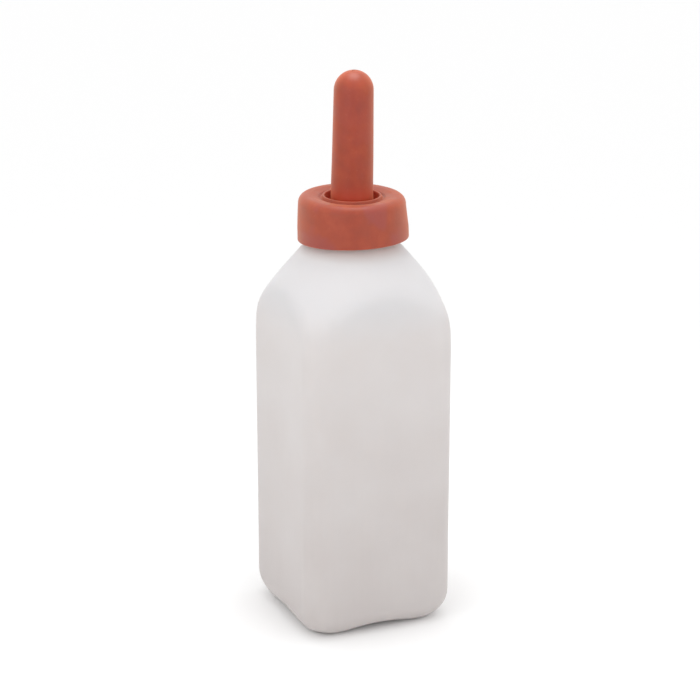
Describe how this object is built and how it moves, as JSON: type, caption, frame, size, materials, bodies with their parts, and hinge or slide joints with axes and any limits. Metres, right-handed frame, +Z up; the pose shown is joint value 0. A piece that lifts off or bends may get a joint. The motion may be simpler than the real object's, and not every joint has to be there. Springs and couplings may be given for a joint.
{
  "type": "calf feeding bottle",
  "caption": "Square plastic feeding bottle with a sloping shoulder, a rubber collar that grips its neck, a long rubber teat and a ball vent inside its mouth.",
  "frame": {"origin": "centre of the square base, on the surface that the bottle stands on", "axes": "+Z up along the bottle's axis, X and Y square to the bottle's flat sides, +Y towards the vent hole in the teat's flange"},
  "size_m": [0.1, 0.1, 0.3508],
  "materials": {
    "natural_plastic": "satin, slightly translucent",
    "red_rubber": "matte",
    "white_plastic": "satin",
    "steel": "polished"
  },
  "bodies": {
    "bottle": {"bottle_body": "natural_plastic"},
    "teat": {"teat": "red_rubber"},
    "collar": {"collar": "red_rubber"},
    "valve": {"valve_plate": "white_plastic", "ball_cage": "white_plastic"},
    "ball": {"vent_ball": "steel"}
  },
  "joints": [
    {"name": "teat_lift", "type": "slide", "parent": "bottle", "child": "teat", "axis": [0, 0, 1], "range_m": [0, 0.08]},
    {"name": "collar_lift", "type": "slide", "parent": "teat", "child": "collar", "axis": [0, 0, 1], "range_m": [0, 0.115]},
    {"name": "plate_drop", "type": "slide", "parent": "teat", "child": "valve", "axis": [0, 0, -1], "range_m": [0, 0.03]},
    {"name": "ball_travel", "type": "slide", "parent": "valve", "child": "ball", "axis": [0, 0, 1], "range_m": [0, 0.0029]}
  ]
}
